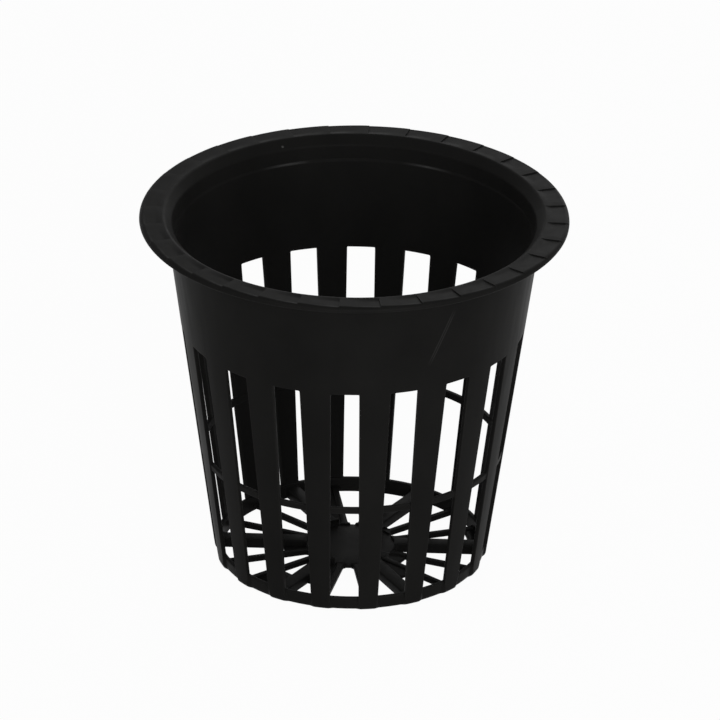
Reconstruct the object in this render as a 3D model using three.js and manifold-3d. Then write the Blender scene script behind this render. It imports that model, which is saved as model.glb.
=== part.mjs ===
import * as THREE from 'three';
import { ConvexGeometry } from 'three/addons/geometries/ConvexGeometry.js';
import { mergeVertices } from 'three/addons/utils/BufferGeometryUtils.js';
import Module from 'manifold-3d';

// Net pot: a slatted basket under a flat flange. Sizes in mm, +Z up, the base ring stands on z = 0.

const HEIGHT = 78.7;

// Tapered wall: a plain collar above, slats between upright slots below
const COLLAR_TOP_DIAMETER = 79;
const FOOT_DIAMETER = 57.4;
const WALL = 1;
const COLLAR_HEIGHT = 23.15;
const LEDGE_DEPTH = 5.3; // from the mouth down to the small sloping ledge inside the collar
const LEDGE_STEP = 0.3;
const LEDGE_RISE = 0.6;
const SLAT_COUNT = 18;
const SLOT_WIDTH = 5.95;
const FOOT_ROUND = 0.4;

// Flange round the mouth
const FLANGE_WIDTH = 5.6;
const FLANGE_THICKNESS = 1.25;
const FLANGE_EDGE_ROUND = 0.3;
const MOUTH_ROUND = 0.85;
const COLLAR_SEAT = 0.3; // how far the collar stands up into the flange

// Ratchet of shallow steps in the flange's top face
const TOOTH_COUNT = 32;
const TOOTH_DROP = 0.3;
const TOOTH_SHARE = 0.68; // of each pitch, the rest stays level
const TOOTH_MARGIN = 1.35; // plain ring between the mouth and the steps
const TOOTH_BORDER = 0.35; // plain ring between the steps and the flange's edge
const TOOTH_DEEPEST = 0.88; // of the way from the one ring to the other
const TOOTH_TURN = -1.4; // degrees from a slat's middle to a riser

// Rings that tie the slats together, let into them from the inside
const RING_DEPTH = 0.95;
const HOOP_LEVEL = 24.4;
const HOOP_HEIGHT = 1.45;
const HOOP_INSET = 0.25;
const BASE_RING_HEIGHT = 3;
const BASE_RING_INSET = 0.55;

// Floor grate
const FLOOR_LIFT = 0.25;
const HUB_DIAMETER = 19.4;
const HUB_THICKNESS = 0.8;
const SPOKE_WIDTH = 1.4;
const SPOKE_THICKNESS = 1.15;
const RIB_EVERY = 3; // one spoke in three is a rib
const RIB_WIDTH = 3.1;
const RIB_THICKNESS = 2.15;

// Fineness of the round shapes, and how large a fillet may be
const FACETS_PER_SLAT = 6;
const FILLET_STEPS = 3;
const FILLET_LIMIT = 0.9; // of the wall that a fillet is on

const wasm = await Module();
wasm.setup();

const { degToRad, lerp } = THREE.MathUtils;
const upward = new THREE.Vector3(0, 0, 1);

const flangeUnderside = HEIGHT - FLANGE_THICKNESS;
const collarTop = flangeUnderside + COLLAR_SEAT;
const slotTop = flangeUnderside - COLLAR_HEIGHT;
const slatPitch = 2 * Math.PI / SLAT_COUNT;
const toothPitch = 2 * Math.PI / TOOTH_COUNT;
const wallFacets = SLAT_COUNT * FACETS_PER_SLAT;

const taper = (COLLAR_TOP_DIAMETER - FOOT_DIAMETER) / 2 / flangeUnderside;
const wallRadius = z => FOOT_DIAMETER / 2 + taper * z;
const mouthRadius = wallRadius(HEIGHT) - WALL + LEDGE_STEP;
const flangeRadius = COLLAR_TOP_DIAMETER / 2 + FLANGE_WIDTH;

// A closed geometry as a solid that can be cut
function solid(geometry) {
  geometry.deleteAttribute('normal');
  geometry.deleteAttribute('uv');
  const merged = mergeVertices(geometry, 1e-5);
  return new wasm.Manifold(new wasm.Mesh({
    numProp: 3,
    vertProperties: new Float32Array(merged.attributes.position.array),
    triVerts: new Uint32Array(merged.index.array),
  }));
}

function geometryOf(body) {
  const { vertProperties, triVerts } = body.getMesh();
  const geometry = new THREE.BufferGeometry();
  geometry.setAttribute('position', new THREE.BufferAttribute(vertProperties, 3));
  geometry.setIndex(new THREE.BufferAttribute(triVerts, 1));
  geometry.computeVertexNormals();
  return geometry;
}

// Solid of revolution about +Z from an anticlockwise outline of [radius, z] points
function turned(outline, facets) {
  const points = [...outline, outline[0]].map(([r, z]) => new THREE.Vector2(r, z));
  return solid(new THREE.LatheGeometry(points, facets, Math.PI / 2).rotateX(Math.PI / 2));
}

// Outline points of a fillet about [r, z], from one angle in degrees to another
function fillet(r, z, radius, from, to) {
  return Array.from({ length: FILLET_STEPS + 1 }, (_, i) => {
    const angle = degToRad(lerp(from, to, i / FILLET_STEPS));
    return [r + radius * Math.cos(angle), z + radius * Math.sin(angle)];
  });
}

function rimLip() {
  const edge = Math.min(FLANGE_EDGE_ROUND, FILLET_LIMIT * FLANGE_THICKNESS);
  const mouth = Math.min(MOUTH_ROUND, FILLET_LIMIT * (HEIGHT - collarTop));
  let lip = turned([
    [mouthRadius, collarTop],
    [wallRadius(collarTop), collarTop],
    [wallRadius(flangeUnderside), flangeUnderside],
    [flangeRadius, flangeUnderside],
    ...fillet(flangeRadius - edge, HEIGHT - edge, edge, 0, 90),
    ...fillet(mouthRadius + mouth, HEIGHT - mouth, mouth, 90, 180),
  ], wallFacets);
  const step = ratchetStep().rotateZ(degToRad(TOOTH_TURN));
  for (let i = 0; i < TOOTH_COUNT; i++) {
    lip = lip.subtract(solid(step.clone().rotateZ(i * toothPitch)));
  }
  return lip;
}

// What one step takes away: a pocket, deepest at the foot of the riser, which stands on +X
function ratchetStep() {
  const start = mouthRadius + TOOTH_MARGIN;
  const end = flangeRadius - TOOTH_BORDER;
  const apex = new THREE.Vector3(start, 0, HEIGHT);
  const head = new THREE.Vector3(end, 0, HEIGHT);
  const level = head.clone().applyAxisAngle(upward, -TOOTH_SHARE * toothPitch);
  const foot = new THREE.Vector3(lerp(start, end, TOOTH_DEEPEST), 0, HEIGHT - TOOTH_DROP);
  const above = [apex, head, level].map(corner => corner.clone().setZ(HEIGHT + FLANGE_THICKNESS));
  return new ConvexGeometry([apex, head, level, foot, ...above]);
}

function collar() {
  const ledge = HEIGHT - LEDGE_DEPTH;
  const ledgeTop = ledge + LEDGE_RISE;
  return turned([
    [wallRadius(slotTop) - WALL, slotTop],
    [wallRadius(slotTop), slotTop],
    [wallRadius(collarTop), collarTop],
    [mouthRadius, collarTop],
    [wallRadius(ledgeTop) - WALL + LEDGE_STEP, ledgeTop],
    [wallRadius(ledge) - WALL, ledge],
  ], wallFacets);
}

// Ring that follows the wall's taper, its outer face set in from the slats' outer faces
function wallRing(bottom, height, inset) {
  const top = bottom + height;
  return turned([
    [wallRadius(bottom) - inset - RING_DEPTH, bottom],
    [wallRadius(bottom) - inset, bottom],
    [wallRadius(top) - inset, top],
    [wallRadius(top) - inset - RING_DEPTH, top],
  ], wallFacets);
}

const hoopRing = () => wallRing(HOOP_LEVEL, HOOP_HEIGHT, HOOP_INSET);
const baseRing = () => wallRing(0, BASE_RING_HEIGHT, BASE_RING_INSET);

// The slat on +X: the wall between two slots, with a notch in its inner face for each ring
function slat() {
  const foot = Math.min(FOOT_ROUND, FILLET_LIMIT * BASE_RING_INSET);
  const hoopTop = HOOP_LEVEL + HOOP_HEIGHT;
  const wall = turned([
    [wallRadius(0) - BASE_RING_INSET, 0],
    ...fillet(wallRadius(foot) - foot, foot, foot, -90, 0),
    [wallRadius(slotTop), slotTop],
    [wallRadius(slotTop) - WALL, slotTop],
    [wallRadius(hoopTop) - WALL, hoopTop],
    [wallRadius(hoopTop) - HOOP_INSET, hoopTop],
    [wallRadius(HOOP_LEVEL) - HOOP_INSET, HOOP_LEVEL],
    [wallRadius(HOOP_LEVEL) - WALL, HOOP_LEVEL],
    [wallRadius(BASE_RING_HEIGHT) - WALL, BASE_RING_HEIGHT],
    [wallRadius(BASE_RING_HEIGHT) - BASE_RING_INSET, BASE_RING_HEIGHT],
  ], wallFacets);
  return wall.intersect(betweenSlots());
}

// Three-sided prism round +X whose sides are the near sides of the slots to the left and right
function betweenSlots() {
  const half = slatPitch / 2;
  const apex = SLOT_WIDTH / 2 / Math.sin(half);
  const reach = apex + flangeRadius;
  const spread = flangeRadius * Math.tan(half);
  const plan = [[apex, 0], [reach, -spread], [reach, spread]].map(([x, y]) => new THREE.Vector2(x, y));
  return solid(new THREE.ExtrudeGeometry(new THREE.Shape(plan), { depth: slotTop, bevelEnabled: false }));
}

// Upright disc as wide as the hub
function hubDisc(bottom, height) {
  const disc = new THREE.CylinderGeometry(HUB_DIAMETER / 2, HUB_DIAMETER / 2, height, wallFacets);
  return solid(disc.rotateX(Math.PI / 2).translate(0, 0, bottom + height / 2));
}

const hubPlate = () => hubDisc(FLOOR_LIFT, HUB_THICKNESS);

// Bar along +X, its ends cut to fit the pieces that it runs into
function spoke(width, thickness) {
  const start = HUB_DIAMETER / 2 * Math.cos(slatPitch / 2);
  const end = wallRadius(FLOOR_LIFT) - BASE_RING_INSET - RING_DEPTH / 2;
  const bar = new THREE.BoxGeometry(end - start, width, thickness);
  bar.translate((start + end) / 2, 0, FLOOR_LIFT + thickness / 2);
  return solid(bar).subtract(hubDisc(0, HEIGHT)).subtract(baseRing()).subtract(slat());
}

const polypropylene = new THREE.MeshStandardMaterial({ color: 0x161616, roughness: 0.45, metalness: 0 });
const netPot = new THREE.Group();

function add(name, geometry, turn = 0) {
  const mesh = new THREE.Mesh(geometry, polypropylene);
  mesh.name = name;
  mesh.rotation.z = turn;
  netPot.add(mesh);
}

const slatGeometry = geometryOf(slat());
const spokeGeometry = geometryOf(spoke(SPOKE_WIDTH, SPOKE_THICKNESS));
const ribGeometry = geometryOf(spoke(RIB_WIDTH, RIB_THICKNESS));

add('rim_lip', geometryOf(rimLip()));
add('collar', geometryOf(collar()));
add('hoop_ring', geometryOf(hoopRing()));
add('base_ring', geometryOf(baseRing()));
add('hub_plate', geometryOf(hubPlate()));
for (let i = 0; i < SLAT_COUNT; i++) {
  const number = String(i + 1).padStart(2, '0');
  add(`slat_${number}`, slatGeometry, i * slatPitch);
  add(`spoke_${number}`, i % RIB_EVERY ? spokeGeometry : ribGeometry, i * slatPitch);
}

export default netPot;
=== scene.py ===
"""A black moulded net pot on a white studio floor, seen from a little above."""
import math

import bmesh
import bpy
import numpy as np
from mathutils import Matrix, Vector


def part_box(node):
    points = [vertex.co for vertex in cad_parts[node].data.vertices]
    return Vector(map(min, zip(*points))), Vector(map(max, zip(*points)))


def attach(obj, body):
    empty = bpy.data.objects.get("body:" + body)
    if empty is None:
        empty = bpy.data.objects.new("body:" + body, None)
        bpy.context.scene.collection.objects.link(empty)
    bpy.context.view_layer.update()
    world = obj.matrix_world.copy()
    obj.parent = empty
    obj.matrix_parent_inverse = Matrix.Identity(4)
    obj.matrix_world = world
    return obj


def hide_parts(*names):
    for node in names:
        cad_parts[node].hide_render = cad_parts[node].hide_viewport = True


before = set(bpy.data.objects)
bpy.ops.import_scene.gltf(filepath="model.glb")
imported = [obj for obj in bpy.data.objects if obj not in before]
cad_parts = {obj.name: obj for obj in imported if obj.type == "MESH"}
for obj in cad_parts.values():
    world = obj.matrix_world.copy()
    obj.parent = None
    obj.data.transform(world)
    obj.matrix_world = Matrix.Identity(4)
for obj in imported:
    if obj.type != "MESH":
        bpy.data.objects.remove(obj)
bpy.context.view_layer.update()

# Lengths are in millimetres and become metres in the meshes
MM = 0.001

# Sizes that the frame's boxes don't give
WALL = 1.0
LEDGE_BELOW_MOUTH = 5.3
LEDGE_STEP = 0.2
LEDGE_RISE = 0.6
MOUTH_SET_BACK = 0.3  # how far the mouth stands back from the wall's inner face
SLOT_WIDTH = 5.95
HOOP_INSET = 0.25
BASE_RING_INSET = 0.55
RING_DEPTH = 0.95
SPOKE_WIDTH = 1.4
SLAT_COUNT = 18
RIB_EVERY = 3  # one floor bar in three is a rib

# Ratchet in the flange's top face
TOOTH_COUNT = 32
TOOTH_DROP = 0.24
TOOTH_SHARE = 0.85  # of each pitch, the rest stays level
TOOTH_MARGIN = 1.35  # plain ring between the mouth and the steps
TOOTH_BORDER = 0.05  # plain ring between the steps and the flange's edge
TOOTH_RAMP = 0.25  # share of the way out at which a step has its full depth
TOOTH_DEEPEST = 0.8  # share of the way out at which a step begins to run out
TOOTH_TURN = math.radians(-1.4)  # from a slat's middle to a riser

# Slope from the flange's top face into the mouth, in degrees and millimetres
MOUTH_BREAK = 1.3  # from the mouth to where the slope begins
MOUTH_ROUND = 1.0
MOUTH_SLOPE = 43.0
MOUTH_DEPTH = 1.35
MOUTH_FOOT_ROUND = 1.2

# Moulded roundings
FLANGE_TOP_ROUND = 0.95
FLANGE_LOW_ROUND = 0.25
FOOT_ROUND = 0.9
FOOT_FLARE = 0.5  # how far a slat's foot spreads on the base ring
FOOT_EASE = 0.35  # how far it draws in at the slat's outer face
SOFT_EDGE = 0.3
SETTLE = 0.015  # how far off the wall's faces a point still counts as on them
BAR_ROUND = 0.28
BAR_FLARE = 0.9
HUB_ROUND = 0.25
HUB_LIFT = 0.04  # of the hub's underside over the bars'

# Steps in the roundings
MOUTH_STEPS = 6
MOUTH_FOOT_STEPS = 5
FLANGE_TOP_STEPS = 6
FLANGE_LOW_STEPS = 4
HUB_STEPS = 4
BAR_STEPS = 3

# Mark of the mould's gate under the hub: its size, and its outline as shares of the radius and depth
GATE_RADIUS = 1.7
GATE_DEPTH = 0.22
GATE_OUTLINE = [(0, 1), (0.8, 1), (0.9, 0.6), (1, 0), (1.3, 0)]

# Webs of plastic that close a few gaps of the floor, by the gap's number:
# how far they reach out from the hub, and in from the base ring
HUB_WEB = {2: 1.6, 5: 17.3, 9: 4.6, 12: 9.5, 15: 8.3, 16: 3.2}
RING_WEB = {0: 2.2, 11: 8.6}
WEB_SPREAD = 12  # the hub's web has its full reach from 1/12 of the gap on each side

# How far one piece runs into the next
OVERLAP = 0.4

# Camera, as fitted to the photograph
CAMERA_TURN = math.radians(2.4)
CAMERA_RISE = math.radians(26.1065)
CAMERA_ROLL = math.radians(0.659)
CAMERA_DISTANCE = 2326.07
AIM_SIDEWAYS = 1.533
AIM_HEIGHT = 44.741
LENS = 551.675
SENSOR = 36.0
CLIP_END = 20.0  # in metres


def low(node):
    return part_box(node)[0] / MM


def high(node):
    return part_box(node)[1] / MM


HEIGHT = high("rim_lip").z
FLANGE_RADIUS = high("rim_lip").x
FLANGE_UNDERSIDE = low("rim_lip").z
COLLAR_TOP = high("collar")
SLOT_TOP = low("collar").z
HOOP_LOW, HOOP_HIGH = low("hoop_ring").z, high("hoop_ring").z
BASE_RING_HIGH = high("base_ring").z
HUB_RADIUS = high("hub_plate").x
FLOOR_LOW, HUB_HIGH = low("hub_plate").z, high("hub_plate").z
RIB_WIDTH = 2 * high("spoke_01").y
RIB_HIGH = high("spoke_01").z
SPOKE_HIGH = high("spoke_02").z

SLAT_PITCH = math.tau / SLAT_COUNT
TOOTH_PITCH = math.tau / TOOTH_COUNT
TAPER = (COLLAR_TOP.x - BASE_RING_INSET - high("base_ring").x) / (COLLAR_TOP.z - BASE_RING_HIGH)
LEAN = math.atan(TAPER)
LEDGE = HEIGHT - LEDGE_BELOW_MOUTH


def wall_radius(z):
    return COLLAR_TOP.x + TAPER * (z - COLLAR_TOP.z)


MOUTH_RADIUS = wall_radius(HEIGHT) - WALL + MOUTH_SET_BACK
RING_INSIDE = wall_radius(FLOOR_LOW) - BASE_RING_INSET - RING_DEPTH

# Points closer than this, in metres, are one
SAME_POINT = 1e-7


def mesh_object(name, points, faces):
    mesh = bpy.data.meshes.new(name)
    mesh.from_pydata([Vector(p) * MM for p in points], [], faces)
    bm = bmesh.new()
    bm.from_mesh(mesh)
    bmesh.ops.remove_doubles(bm, verts=bm.verts, dist=SAME_POINT)
    for face in bm.faces:
        face.smooth = True
    bm.to_mesh(mesh)
    bm.free()
    obj = bpy.data.objects.new(name, mesh)
    bpy.context.scene.collection.objects.link(obj)
    return obj


def mark_sharpness(mesh):
    """Stores how sharply the surface turns at each point, in 1/m, for the wear on the edges."""
    places, normals = np.empty((2, len(mesh.vertices), 3), np.float32)
    mesh.vertices.foreach_get("co", places.ravel())
    mesh.vertex_normals.foreach_get("vector", normals.ravel())
    ends = np.empty((len(mesh.edges), 2), np.int32)
    mesh.edges.foreach_get("vertices", ends.ravel())
    step = places[ends[:, 0]] - places[ends[:, 1]]
    length = (step ** 2).sum(1)
    turn, count = np.zeros((2, len(places)))
    for end, way in ((0, 1), (1, -1)):
        bend = way * (step * normals[ends[:, end]]).sum(1) / length
        np.add.at(turn, ends[:, end], bend)
        np.add.at(count, ends[:, end], 1)
    sharpness = mesh.attributes.new("sharpness", "FLOAT", "POINT")
    sharpness.data.foreach_set("value", (turn / count).astype(np.float32))


def arc(r, z, radius, start, end, steps):
    """Points of a rounding about (r, z), from one angle in degrees to another."""
    angles = np.radians(np.linspace(start, end, steps + 1))
    return [(r + radius * math.cos(a), z + radius * math.sin(a)) for a in angles]


def turned(name, angles, profile_at, whole=True):
    """Closed body swept round +Z, all the way or, if not whole, from one flat end to the other.

    profile_at(i) is the anticlockwise (r, z) loop at angles[i].
    """
    points = []
    for i, angle in enumerate(angles):
        loop = profile_at(i)
        points += [(r * math.cos(angle), r * math.sin(angle), z) for r, z in loop]
    n, m = len(angles), len(loop)
    faces = []
    for i in range(n if whole else n - 1):
        a, b = i * m, (i + 1) % n * m
        for j in range(m):
            k = (j + 1) % m
            faces.append((a + j, b + j, b + k, a + k))
    if not whole:
        last = (n - 1) * m
        faces += [tuple(range(m)), tuple(range(last, last + m))[::-1]]
    return mesh_object(name, points, faces)


# Wall

# A normal within these angles of the wall's is shaded as the wall's: anywhere, and at points on its faces
NEARLY_IN_LINE = math.cos(math.radians(6))
EDGE_OF_FACE = math.cos(math.radians(40))

# The rim's skin fades into the wall below the ledge, and the wall's own inner face gives way to it
SKIN_FADE = 13.0
SKIN_LAP = 1.5
SKIN_SEAT = LEDGE - SKIN_FADE + SKIN_LAP

# Heights of the lowest grid lines, as shares of the foot's rounding, and about how far apart the others are
FOOT_ROWS = [0, 0.1, 0.3, 0.6, 1, 1.7]
ROW_SPACING = 6.0

# Upright grid lines of one pitch: where they are, from -1 at one edge of the slat over 1 at the other edge
# to 3 at the next slat, and how far they stand beside that place
WALL_LINES = [
    (-1, 0), (-1, SOFT_EDGE), (-0.6, 0), (-0.2, 0), (0.2, 0), (0.6, 0), (1, -SOFT_EDGE),
    (1, 0), (1, SOFT_EDGE), (1.4, 0), (1.8, 0), (2.2, 0), (2.6, 0), (3, -SOFT_EDGE),
]
SLAT_LINES = 7  # the cells after these first lines lie in the slat
SLAT_SIDES = {-1: -1, 1: 1, 3: -1}  # which way leads out of a slat at its edges

# Offsets of the wall's faces from the slats' outer face
WALL_LEVELS = [
    -BASE_RING_INSET - RING_DEPTH, -HOOP_INSET - RING_DEPTH, -WALL, -BASE_RING_INSET, -HOOP_INSET, 0,
]


def wall_rows():
    """Heights of the wall's grid lines, with a line close beside each break so that edges stay crisp."""
    breaks = [BASE_RING_HIGH, HOOP_LOW, HOOP_HIGH, SLOT_TOP, SKIN_SEAT, FLANGE_UNDERSIDE + OVERLAP]
    rows = [*(FOOT_ROUND * np.array(FOOT_ROWS)), BASE_RING_HIGH - SOFT_EDGE]
    for a, b in zip(breaks, breaks[1:]):
        steps = 2 + round((b - a) / ROW_SPACING)
        rows += [a, *np.linspace(a + SOFT_EDGE, b - SOFT_EDGE, steps)]
    return rows + breaks[-1:]


def wall_span(in_slat, z):
    """Offsets of the wall's inner and outer face at a height, or None in a slot."""
    if z < BASE_RING_HIGH:
        return -BASE_RING_INSET - RING_DEPTH, 0 if in_slat else -BASE_RING_INSET
    if HOOP_LOW < z < HOOP_HIGH:
        return -HOOP_INSET - RING_DEPTH, 0 if in_slat else -HOOP_INSET
    if z < SLOT_TOP:
        return (-WALL, 0) if in_slat else None
    return (-WALL, 0) if z < SKIN_SEAT else (-BASE_RING_INSET, 0)


def foot_rounded(level, z):
    """Offset of a face near the foot, where the outer faces draw in towards the innermost."""
    if z >= FOOT_ROUND:
        return level
    drawn_in = FOOT_ROUND - math.sqrt(FOOT_ROUND ** 2 - (FOOT_ROUND - z) ** 2)
    inmost = WALL_LEVELS[0]
    return inmost + (level - inmost) * (1 + drawn_in / inmost)


def foot_slope(level, z):
    """How far a slat's side stands out at its foot, where it slopes down onto the base ring."""
    share = np.interp(z, [BASE_RING_HIGH / 2, BASE_RING_HIGH - SOFT_EDGE], [1, 0])
    return share * np.interp(level, [-BASE_RING_INSET, 0], [FOOT_FLARE, -FOOT_EASE])


def wall_point(line, z, level):
    r = wall_radius(z) + foot_rounded(level, z)
    slat, place = divmod(line, len(WALL_LINES))
    share, beside = WALL_LINES[place]
    half = SLAT_PITCH / 2 - math.asin(SLOT_WIDTH / 2 / r)
    beside += SLAT_SIDES.get(share, 0) * foot_slope(level, z)
    angle = np.interp(share, [-1, 1, 3], [-half, half, SLAT_PITCH - half]) + beside / r
    angle += slat * SLAT_PITCH
    return r * math.cos(angle), r * math.sin(angle), z


def settle_normals(mesh, on_cone=()):
    """Shades what is nearly in line with the wall, or lies on its faces, as a true cone."""
    normals = [corner.vector.copy() for corner in mesh.corner_normals]
    for loop, normal in zip(mesh.loops, normals):
        outward = mesh.vertices[loop.vertex_index].co * Vector((1, 1, 0))
        outward = outward.normalized() * math.cos(LEAN) - Vector((0, 0, math.sin(LEAN)))
        along = normal.dot(outward)
        if abs(along) > (EDGE_OF_FACE if loop.vertex_index in on_cone else NEARLY_IN_LINE):
            normal[:] = outward * math.copysign(1, along)
    mesh.normals_split_custom_set(normals)


def settle_on_cone(mesh):
    """Puts the points that the rounding left a hair off the wall's faces back on them, and lists them."""
    settled = set()
    for vertex in mesh.vertices:
        x, y, z = vertex.co / MM
        r = math.hypot(x, y)
        for level in (0, -WALL):
            face = wall_radius(z) + level
            if abs(r - face) < SETTLE:
                vertex.co.xy *= face / r
                settled.add(vertex.index)
    return settled


def filled_cells(rows):
    """Which cells of the wall's grid hold plastic, by column, row and level."""
    filled = np.zeros((SLAT_COUNT * len(WALL_LINES), len(rows) - 1, len(WALL_LEVELS) - 1), bool)
    middles = np.add(WALL_LEVELS[1:], WALL_LEVELS[:-1]) / 2
    for place in range(len(WALL_LINES)):
        for k in range(len(rows) - 1):
            span = wall_span(place < SLAT_LINES, (rows[k] + rows[k + 1]) / 2)
            if span:
                filled[place::len(WALL_LINES), k] = (middles > span[0]) & (middles < span[1])
    return filled


def grid_skin(filled, point_at):
    """Points and faces of the skin round a grid's filled cells. The columns close on themselves."""
    columns, row_count, level_count = filled.shape
    where, points, faces = {}, [], []

    def corner(cell):
        key = cell[0] % columns, cell[1], cell[2]
        if key not in where:
            where[key] = len(points)
            points.append(point_at(*key))
        return where[key]

    def is_filled(cell):
        column, row, level = cell
        if not 0 <= row < row_count or not 0 <= level < level_count:
            return False
        return filled[column % columns, row, level]

    steps = np.eye(3, dtype=int)
    for cell in np.argwhere(filled):
        for axis in range(3):
            ahead, u, v = steps[axis], steps[(axis + 1) % 3], steps[(axis + 2) % 3]
            if not is_filled(cell + ahead):
                start = cell + ahead
                faces.append([corner(start + s) for s in (0 * u, u, u + v, v)])
            if not is_filled(cell - ahead):
                faces.append([corner(cell + s) for s in (0 * u, v, u + v, u)])
    return points, faces


def round_edges(obj):
    """Subdivides the mesh once, which rounds its edges."""
    rounding = obj.modifiers.new("moulded edges", "SUBSURF")
    rounding.levels = rounding.render_levels = 1
    rounded = obj.evaluated_get(bpy.context.evaluated_depsgraph_get())
    rough = obj.data
    obj.data = bpy.data.meshes.new_from_object(rounded)
    obj.data.name = obj.name
    obj.modifiers.clear()
    bpy.data.meshes.remove(rough)


def basket_wall():
    """Collar, slats, hoop and base ring as one skin round the filled cells of a bent grid."""
    rows = wall_rows()
    points, faces = grid_skin(
        filled_cells(rows), lambda line, row, level: wall_point(line, rows[row], WALL_LEVELS[level]),
    )
    obj = mesh_object("basket_wall", points, faces)
    round_edges(obj)
    settle_normals(obj.data, settle_on_cone(obj.data))
    return obj


# Flange

# The soft ledge inside the collar: heights in rises above it, and what share of the step is reached there
LEDGE_CURVE = [(1.6, 0), (1.25, 0.02), (1.0, 0.1), (0.8, 0.26), (0.6, 0.5), (0.4, 0.74), (0.2, 0.9),
               (-0.05, 0.98), (-0.5, 1)]

# Rows of the skin from the mouth to the ledge, and shares of its fade below the ledge, a little past its end
SKIN_ROWS = 4
SKIN_FADE_ROWS = [0.25, 0.5, 0.75, 1, 1.15]

# How deep in the wall the rim's hidden face lies
RIM_HEART = WALL / 3

# Places across one tooth, from the foot of its riser to the head of the one before, and rows along it
TOOTH_STEPS = [0.005, 0.03, *np.linspace(0.09, 0.93, 11), 0.975, 1.0]
TOOTH_ROWS = 12
TOOTH_FIRST = MOUTH_RADIUS + TOOTH_MARGIN
TOOTH_LAST = FLANGE_RADIUS - TOOTH_BORDER
RISER_EDGE = math.radians(35)


def tooth_depth(r, along):
    across = (r - TOOTH_FIRST) / (TOOTH_LAST - TOOTH_FIRST)
    inner, outer = across / TOOTH_RAMP, (1 - across) / (1 - TOOTH_DEEPEST)
    return TOOTH_DROP * max(0, 1 - along / TOOTH_SHARE) * max(0, min(1, inner, outer))


def flange_top(along):
    """Outline from the flange's outer edge over its top face, with the teeth, to the plain ring."""
    centre_r, centre_z = FLANGE_RADIUS - FLANGE_TOP_ROUND, HEIGHT - FLANGE_TOP_ROUND
    deepest = TOOTH_FIRST + TOOTH_DEEPEST * (TOOTH_LAST - TOOTH_FIRST)
    outline = arc(centre_r, centre_z, FLANGE_TOP_ROUND, 0, 90, FLANGE_TOP_STEPS)
    outline += [(r, HEIGHT) for r in np.linspace(deepest, TOOTH_FIRST, TOOTH_ROWS)]
    return [(r, z - tooth_depth(r, along)) for r, z in outline]


def mouth_slope():
    """Outline from the flange's top face down the slope to the wall inside the mouth."""
    slope = math.radians(MOUTH_SLOPE)
    centre_r, centre_z = MOUTH_RADIUS + MOUTH_BREAK, HEIGHT - MOUTH_ROUND
    outline = arc(centre_r, centre_z, MOUTH_ROUND, 90, 90 + MOUTH_SLOPE, MOUTH_STEPS)
    edge_r, edge_z = outline[-1]
    foot_z = HEIGHT - MOUTH_DEPTH
    foot_r = edge_r - (edge_z - foot_z) / math.tan(slope)
    centre_r = foot_r + MOUTH_FOOT_ROUND * math.sin(slope)
    centre_z = foot_z - MOUTH_FOOT_ROUND * math.cos(slope)
    upright = 180 - math.degrees(LEAN)
    return outline + arc(centre_r, centre_z, MOUTH_FOOT_ROUND, 90 + MOUTH_SLOPE, upright, MOUTH_FOOT_STEPS)


def mouth_skin(top_r, top_z):
    """Outline from the slope's foot down over the ledge, fading into the wall below it."""
    thick = wall_radius(top_z) - top_r
    ledge = [(LEDGE + up * LEDGE_RISE, thick + share * LEDGE_STEP) for up, share in LEDGE_CURVE]
    above = [(z, thick) for z in np.linspace(top_z, ledge[0][0], SKIN_ROWS)[1:-1]]
    ledge_foot, most = ledge[-1]
    fade = [(ledge_foot - share * SKIN_FADE, most + share * (WALL - most)) for share in SKIN_FADE_ROWS]
    return [(wall_radius(z) - inset, z) for z, inset in above + ledge + fade]


def rim_profile(along):
    """Anticlockwise outline of the flange and of the collar's skin down past the ledge."""
    mouth = mouth_slope()
    skin = mouth_skin(*mouth[-1])
    end = skin[-1][1]
    edge_r, edge_z = FLANGE_RADIUS - FLANGE_LOW_ROUND, FLANGE_UNDERSIDE + FLANGE_LOW_ROUND
    return [
        (wall_radius(end) - RIM_HEART, end),
        (wall_radius(FLANGE_UNDERSIDE) - RIM_HEART, FLANGE_UNDERSIDE),
        *arc(edge_r, edge_z, FLANGE_LOW_ROUND, -90, 0, FLANGE_LOW_STEPS),
        *flange_top(along),
        *mouth,
        *skin,
    ]


def rim():
    places = [(k, s) for k in range(TOOTH_COUNT) for s in reversed(TOOTH_STEPS)]
    angles = [TOOTH_TURN + (k - s) * TOOTH_PITCH for k, s in places]
    obj = turned("rim", angles, lambda i: rim_profile(places[i][1]))
    obj.data.set_sharp_from_angle(angle=RISER_EDGE)
    settle_normals(obj.data)
    return obj


# Floor grate

# Steps round the hub in one gap, and points round the ring's web in one
HUB_STEPS_PER_GAP = 24
WEB_POINTS = 13

# Takes an angle on the line between two gaps into the second
JUST_PAST = 1e-9

# Where a bar's flare has its sections, as shares of its length
FLARE_STATIONS = [0, 0.12, 0.3, 0.6, 1]


def hub_reach(angle):
    """Radius of the hub with the web beside it."""
    gap, place = divmod(angle / SLAT_PITCH, 1)
    spread = min(1, WEB_SPREAD * min(place, 1 - place))
    return HUB_RADIUS + HUB_WEB.get(int(gap), 0) * spread


def hub():
    z_low = FLOOR_LOW + HUB_LIFT
    angles = np.linspace(0, math.tau, HUB_STEPS_PER_GAP * SLAT_COUNT, endpoint=False)

    def profile(i):
        outer = hub_reach(angles[i] + JUST_PAST) - HUB_ROUND
        return [
            *[(out * GATE_RADIUS, z_low + deep * GATE_DEPTH) for out, deep in GATE_OUTLINE],
            (HUB_RADIUS / 2, z_low),
            *arc(outer, z_low + HUB_ROUND, HUB_ROUND, -90, 0, HUB_STEPS),
            *arc(outer, HUB_HIGH - HUB_ROUND, HUB_ROUND, 0, 90, HUB_STEPS),
            (HUB_RADIUS / 2, HUB_HIGH), (0, HUB_HIGH),
        ]

    return turned("hub", angles, profile)


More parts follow.
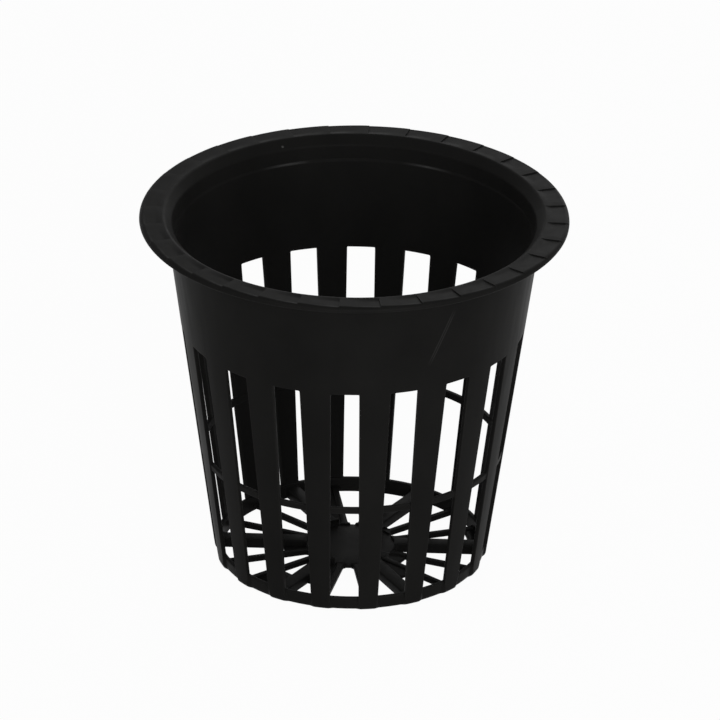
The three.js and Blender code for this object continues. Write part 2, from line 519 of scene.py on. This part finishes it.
def ring_web(gap, reach):
    """Web of plastic between two bars, from inside the base ring towards the hub."""
    edge, z_low = RING_INSIDE - reach + HUB_ROUND, FLOOR_LOW + HUB_LIFT
    loop = [
        *arc(edge, z_low + HUB_ROUND, HUB_ROUND, 180, 270, HUB_STEPS), (RING_INSIDE + OVERLAP, z_low),
        (RING_INSIDE + OVERLAP, HUB_HIGH), *arc(edge, HUB_HIGH - HUB_ROUND, HUB_ROUND, 90, 180, HUB_STEPS),
    ]
    angles = SLAT_PITCH * np.linspace(gap, gap + 1, WEB_POINTS)
    return turned(f"ring_web_{gap + 1:02d}", angles, lambda i: loop, whole=False)


def bar_section(width, z_high):
    """Anticlockwise (y, z) outline of a bar, its edges rounded."""
    y, z0, z1 = width / 2 - BAR_ROUND, FLOOR_LOW + BAR_ROUND, z_high - BAR_ROUND
    corners = [(-y, z0, 180), (y, z0, 270), (y, z1, 0), (-y, z1, 90)]
    return [point for r, z, start in corners for point in arc(r, z, BAR_ROUND, start, start + 90, BAR_STEPS)]


def bar(name, turn, width, z_high):
    """Bar from the hub to the base ring, flaring a little where it grows out of them."""
    flares = BAR_FLARE * np.array(FLARE_STATIONS)
    stations = [
        HUB_RADIUS - OVERLAP, *(HUB_RADIUS + flares), *(RING_INSIDE - flares[::-1]), RING_INSIDE + OVERLAP,
    ]
    points, faces = [], []
    for x in stations:
        gap = max(0, min(x - HUB_RADIUS, RING_INSIDE - x) / BAR_FLARE)
        flare = 0 if gap >= 1 else BAR_FLARE * (1 - math.sqrt(1 - (1 - gap) ** 2))
        section = bar_section(width + flare, z_high)
        points += [(x * math.cos(turn) - y * math.sin(turn), x * math.sin(turn) + y * math.cos(turn), z)
                   for y, z in section]
    m = len(section)
    for i in range(len(stations) - 1):
        for j in range(m):
            k = (j + 1) % m
            faces.append((i * m + j, i * m + k, (i + 1) * m + k, (i + 1) * m + j)[::-1])
    last = (len(stations) - 1) * m
    faces += [tuple(range(m))[::-1], tuple(range(last, last + m))]
    return mesh_object(name, points, faces)


# Looks

# Tones of the plastic: between clouds and in them, on rubbed edges, in scratches, and of the painted glint at
# the mouth
DARK_TONE = (0.0078, 0.0077, 0.0074, 1)
PALE_TONE = (0.0102, 0.0100, 0.0096, 1)
RUBBED_TONE = (0.0135, 0.0133, 0.0128, 1)
SCRATCH_TONE = (0.022, 0.0216, 0.021, 1)
PAINTED_GLINT_TONE = (0.09, 0.09, 0.088, 1)

# Grains per metre on each axis
CLOUDS = (70, 70, 50)
STREAKS = (500, 500, 18)
FINE_GRAIN = (2600, 2600, 2600)
NOISE_RANGE = (0.3, 0.7)  # where most of a noise's values lie

# Wear on edges: from what sharpness in 1/m to what it grows, and how the clouds make it patchy
WEAR_SHARPNESS = (150, 1200)
WEAR_CLOUDS = (0.35, 0.65)
LEAST_WEAR = 0.4

# Finish: roughness over the streaks, what wear and polish add to it, and gloss where plain and polished
ROUGHNESS = (0.38, 0.45)
WORN_ROUGHNESS = -0.06
POLISHED_ROUGHNESS = -0.14
GLOSS = (0.016, 0.2)
REFRACTION = 1.49
GRAIN_STRENGTH = 0.12
GRAIN_HEIGHT = 0.04

# A pair of scratches on the collar: degrees round the pot and height of both ends, width, places across,
# how softly they are edged, and over what share of their length they fade
SCUFF_ENDS = [(-54.9, 71.5), (-61.3, 61.0)]
SCUFF_WIDTH = 0.22
SCUFF_SHIFTS = [0, 0.5]
SCUFF_SOFT = SCUFF_WIDTH / 3
SCUFF_FADE = 1 / 8

# Where the ledge is rubbed bright: degrees round the pot from, to, and how softly it ends,
# and how far upward the surface has to face
RUBBED_ARCS = [(112, 119, 5), (64, 72, 5)]
RUBBED_RISE = (0.2, 0.45)

# A painted glint, a pale spot on the slope into the mouth: degrees round the pot, radius, height and half its
# width
PAINTED_GLINT_PLACE = (115.9, 38.5, 77.75)
PAINTED_GLINT_SIZE = 0.42


def node(tree, kind, values=None, **settings):
    """New node. A value is a number, a colour or the socket that feeds the input."""
    new = tree.nodes.new(kind)
    for key, setting in settings.items():
        setattr(new, key, setting)
    for key, value in (values or {}).items():
        if isinstance(value, bpy.types.NodeSocket):
            tree.links.new(value, new.inputs[key])
        else:
            new.inputs[key].default_value = value
    return new


def maths(tree, operation, *values):
    return node(tree, "ShaderNodeMath", dict(enumerate(values)), operation=operation).outputs[0]


def vector_maths(tree, operation, first, second, output):
    return node(tree, "ShaderNodeVectorMath", {0: first, 1: second}, operation=operation).outputs[output]


def painted(tree, share, below, tone):
    """The colour below, with a tone over it by its share."""
    return node(tree, "ShaderNodeMix", {"Factor": share, "A": below, "B": tone}, data_type="RGBA").outputs[2]


def noise(tree, place, stretch, detail=3.0):
    """Grey noise whose grains are 1/stretch metres long on each axis."""
    scaled = node(tree, "ShaderNodeMapping", {"Vector": place, "Scale": stretch})
    cloud = node(tree, "ShaderNodeTexNoise", {"Vector": scaled.outputs[0], "Scale": 1.0, "Detail": detail})
    return cloud.outputs["Fac"]


def ranged(tree, value, start, end, low_end, high_end):
    return node(tree, "ShaderNodeMapRange", {
        "Value": value, "From Min": start, "From Max": end, "To Min": low_end, "To Max": high_end,
    }).outputs[0]


def between(tree, value, start, end, soft):
    """1 where the value lies between start and end, falling to 0 within soft of them."""
    rise = ranged(tree, value, start - soft, start + soft, 0, 1)
    fall = ranged(tree, value, end - soft, end + soft, 1, 0)
    return maths(tree, "MULTIPLY", rise, fall)


def round_pot(turn, r, z):
    """Point in metres from degrees round the pot, radius and height."""
    turn = math.radians(turn)
    return Vector((r * math.cos(turn), r * math.sin(turn), z)) * MM


def scuff(tree, place):
    """1 on a pair of fine scratches across the collar."""
    start, end = [round_pot(turn, wall_radius(z), z) for turn, z in SCUFF_ENDS]
    length, half, soft = (end - start).length, SCUFF_WIDTH / 2, SCUFF_SOFT * MM
    along = (end - start).normalized()
    outward = along.cross((start + end).yxz * Vector((-1, 1, 0))).normalized()
    moved = vector_maths(tree, "SUBTRACT", place, start, 0)
    forth, across, out = [
        vector_maths(tree, "DOT_PRODUCT", moved, axis, "Value")
        for axis in (along, along.cross(outward), outward)
    ]
    lines = [between(tree, across, (shift - half) * MM, (shift + half) * MM, soft) for shift in SCUFF_SHIFTS]
    reach = between(tree, forth, 0, length, length * SCUFF_FADE)
    near = between(tree, out, -WALL / 2 * MM, WALL / 2 * MM, soft)
    pair = maths(tree, "MAXIMUM", *lines)
    return maths(tree, "MULTIPLY", maths(tree, "MULTIPLY", pair, reach), near)


def painted_glint(tree, place):
    """1 on the painted glint, a pale spot in the colour at the mouth."""
    away = vector_maths(tree, "DISTANCE", place, round_pot(*PAINTED_GLINT_PLACE), "Value")
    return ranged(tree, away, PAINTED_GLINT_SIZE / 2 * MM, PAINTED_GLINT_SIZE * MM, 1, 0)


def polished_ledge(tree, place):
    """1 on the sloping part of the ledge inside the collar, where it is rubbed bright in two places."""
    x, y, level = node(tree, "ShaderNodeSeparateXYZ", {0: place}).outputs
    band = between(tree, level, (LEDGE - LEDGE_RISE) * MM, (LEDGE + 2 * LEDGE_RISE) * MM, LEDGE_RISE / 3 * MM)
    normal = node(tree, "ShaderNodeNewGeometry").outputs["Normal"]
    rise = node(tree, "ShaderNodeSeparateXYZ", {0: normal}).outputs["Z"]
    sloping = ranged(tree, rise, *RUBBED_RISE, 0, 1)
    turn = maths(tree, "ARCTAN2", y, x)
    arcs = [between(tree, turn, *[math.radians(end) for end in ends]) for ends in RUBBED_ARCS]
    there = maths(tree, "MULTIPLY", band, maths(tree, "MAXIMUM", *arcs))
    return maths(tree, "MULTIPLY", there, sloping)


def clouded_tone(tree, clouds):
    """Tone of the bare plastic, a little paler in the clouds."""
    tone = node(tree, "ShaderNodeValToRGB", {"Fac": clouds})
    for stop, position, colour in zip(tone.color_ramp.elements, NOISE_RANGE, (DARK_TONE, PALE_TONE)):
        stop.position = position
        stop.color = colour
    return tone.outputs[0]


def black_polypropylene():
    """Satin black moulding: clouded tone, flow streaks down the wall, fine grain, paler rubbed edges."""
    material = bpy.data.materials.new("black_polypropylene")
    material.use_nodes = True
    tree = material.node_tree
    tree.nodes.clear()
    place = node(tree, "ShaderNodeTexCoord").outputs["Object"]
    clouds = noise(tree, place, CLOUDS)
    streaks = noise(tree, place, STREAKS, detail=2.0)
    grain = noise(tree, place, FINE_GRAIN, detail=1.0)
    sharpness = node(tree, "ShaderNodeAttribute", attribute_name="sharpness").outputs["Fac"]
    edges = ranged(tree, sharpness, *WEAR_SHARPNESS, 0, 1)
    rubbed = maths(tree, "MULTIPLY", edges, ranged(tree, clouds, *WEAR_CLOUDS, LEAST_WEAR, 1))
    polish = polished_ledge(tree, place)

    colour = painted(tree, rubbed, clouded_tone(tree, clouds), RUBBED_TONE)
    colour = painted(tree, scuff(tree, place), colour, SCRATCH_TONE)
    # Painted highlight: a pale spot in the colour where a glint stands on the mouth's slope
    colour = painted(tree, painted_glint(tree, place), colour, PAINTED_GLINT_TONE)
    rough = ranged(tree, streaks, *NOISE_RANGE, *ROUGHNESS)
    rough = maths(tree, "MULTIPLY_ADD", rubbed, WORN_ROUGHNESS, rough)
    rough = maths(tree, "MULTIPLY_ADD", polish, POLISHED_ROUGHNESS, rough)
    bump = node(tree, "ShaderNodeBump", {
        "Height": grain, "Strength": GRAIN_STRENGTH, "Distance": GRAIN_HEIGHT * MM,
    })
    plastic = node(tree, "ShaderNodeBsdfPrincipled", {
        "Base Color": colour, "Roughness": rough, "Normal": bump.outputs[0],
        "IOR": REFRACTION, "Specular IOR Level": ranged(tree, polish, 0, 1, *GLOSS),
    })
    output = node(tree, "ShaderNodeOutputMaterial")
    tree.links.new(plastic.outputs[0], output.inputs["Surface"])
    return material


# Studio, in metres

FLOOR_SIZE = 3.0
FLOOR_PAINT = (0.9, 0.9, 0.9, 1)
FLOOR_WHITE = 0.96  # share of plain white in what the camera sees of the floor
WHITE = (1, 1, 1, 1)
AMBIENT = 0.3

# Lamps: degrees from the front towards +X, degrees of rise, distance, size and watts
LAMPS = {
    "back": (165, 28, 1.2, 0.8, 2.2),
    "front": (16, 10, 1.2, 0.8, 9.8),
    "left": (-47, 37, 1.3, 0.15, 1.0),
    "right": (47, 37, 1.3, 0.15, 1.0),
}


def seen_directly(tree):
    """1 for rays that show the background: from the camera, or by way of a reflection or glass."""
    path = node(tree, "ShaderNodeLightPath").outputs
    shown = maths(tree, "MAXIMUM", path["Is Camera Ray"], path["Is Glossy Ray"])
    return maths(tree, "MAXIMUM", shown, path["Is Transmission Ray"])


def studio_world():
    world = bpy.data.worlds.new("studio")
    bpy.context.scene.world = world
    world.use_nodes = True
    tree = world.node_tree
    tree.nodes.clear()
    light = node(tree, "ShaderNodeBackground", {"Color": WHITE, "Strength": AMBIENT})
    white = node(tree, "ShaderNodeBackground", {"Color": WHITE, "Strength": 1.0})
    mixed = node(tree, "ShaderNodeMixShader", {
        0: seen_directly(tree), 1: light.outputs[0], 2: white.outputs[0],
    })
    output = node(tree, "ShaderNodeOutputWorld")
    tree.links.new(mixed.outputs[0], output.inputs["Surface"])


def studio_floor():
    """White painted floor, lifted to plain white where the camera sees it, but for a trace of the shadow."""
    half = FLOOR_SIZE / 2 / MM
    floor = mesh_object("floor", [(-half, -half, 0), (half, -half, 0), (half, half, 0), (-half, half, 0)],
                        [(0, 1, 2, 3)])
    material = bpy.data.materials.new("white_floor")
    material.use_nodes = True
    tree = material.node_tree
    tree.nodes.clear()
    paint = node(tree, "ShaderNodeBsdfDiffuse", {"Color": FLOOR_PAINT})
    white = node(tree, "ShaderNodeEmission", {"Color": WHITE, "Strength": 1.0})
    share = maths(tree, "MULTIPLY", seen_directly(tree), FLOOR_WHITE)
    mixed = node(tree, "ShaderNodeMixShader", {0: share, 1: paint.outputs[0], 2: white.outputs[0]})
    output = node(tree, "ShaderNodeOutputMaterial")
    tree.links.new(mixed.outputs[0], output.inputs["Surface"])
    floor.data.materials.append(material)


def softbox(name, turn, rise, distance, size, power):
    """Square lamp aimed at the pot's middle. turn is in degrees from the front towards +X."""
    lamp = bpy.data.lights.new(name, "AREA")
    lamp.shape = "SQUARE"
    lamp.size = size
    lamp.energy = power
    turn, rise = math.radians(turn), math.radians(rise)
    away = Vector((math.sin(turn) * math.cos(rise), -math.cos(turn) * math.cos(rise), math.sin(rise)))
    obj = bpy.data.objects.new(name, lamp)
    obj.location = Vector((0, 0, HEIGHT * MM / 2)) + away * distance
    obj.rotation_euler = away.to_track_quat("Z", "Y").to_euler()
    bpy.context.scene.collection.objects.link(obj)


def studio_camera():
    data = bpy.data.cameras.new("camera")
    data.lens, data.sensor_width = LENS, SENSOR
    data.clip_end = CLIP_END
    right = Vector((math.cos(CAMERA_TURN), math.sin(CAMERA_TURN), 0))
    back = Vector((math.sin(CAMERA_TURN) * math.cos(CAMERA_RISE),
                   -math.cos(CAMERA_TURN) * math.cos(CAMERA_RISE), math.sin(CAMERA_RISE)))
    place = Vector((0, 0, AIM_HEIGHT)) + right * AIM_SIDEWAYS + back * CAMERA_DISTANCE
    axes = Matrix((right, back.cross(right), back)).transposed()
    camera = bpy.data.objects.new("camera", data)
    camera.matrix_world = (Matrix.Translation(place * MM) @ axes.to_4x4()
                           @ Matrix.Rotation(CAMERA_ROLL, 4, "Z"))
    bpy.context.scene.collection.objects.link(camera)
    bpy.context.scene.camera = camera


def add_piece(obj, material, *nodes):
    mark_sharpness(obj.data)
    obj.data.materials.append(material)
    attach(obj, "root")
    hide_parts(*nodes)


plastic = black_polypropylene()
numbers = [f"{i + 1:02d}" for i in range(SLAT_COUNT)]
add_piece(rim(), plastic, "rim_lip")
add_piece(basket_wall(), plastic, "collar", "hoop_ring", "base_ring", *[f"slat_{n}" for n in numbers])
add_piece(hub(), plastic, "hub_plate")
for i, number in enumerate(numbers):
    size = (SPOKE_WIDTH, SPOKE_HIGH) if i % RIB_EVERY else (RIB_WIDTH, RIB_HIGH)
    add_piece(bar(f"floor_bar_{number}", i * SLAT_PITCH, *size), plastic, f"spoke_{number}")
for gap, reach in RING_WEB.items():
    add_piece(ring_web(gap, reach), plastic)

studio_world()
studio_floor()
for name, lamp in LAMPS.items():
    softbox(name, *lamp)
studio_camera()
bpy.context.scene.view_settings.view_transform = "Standard"
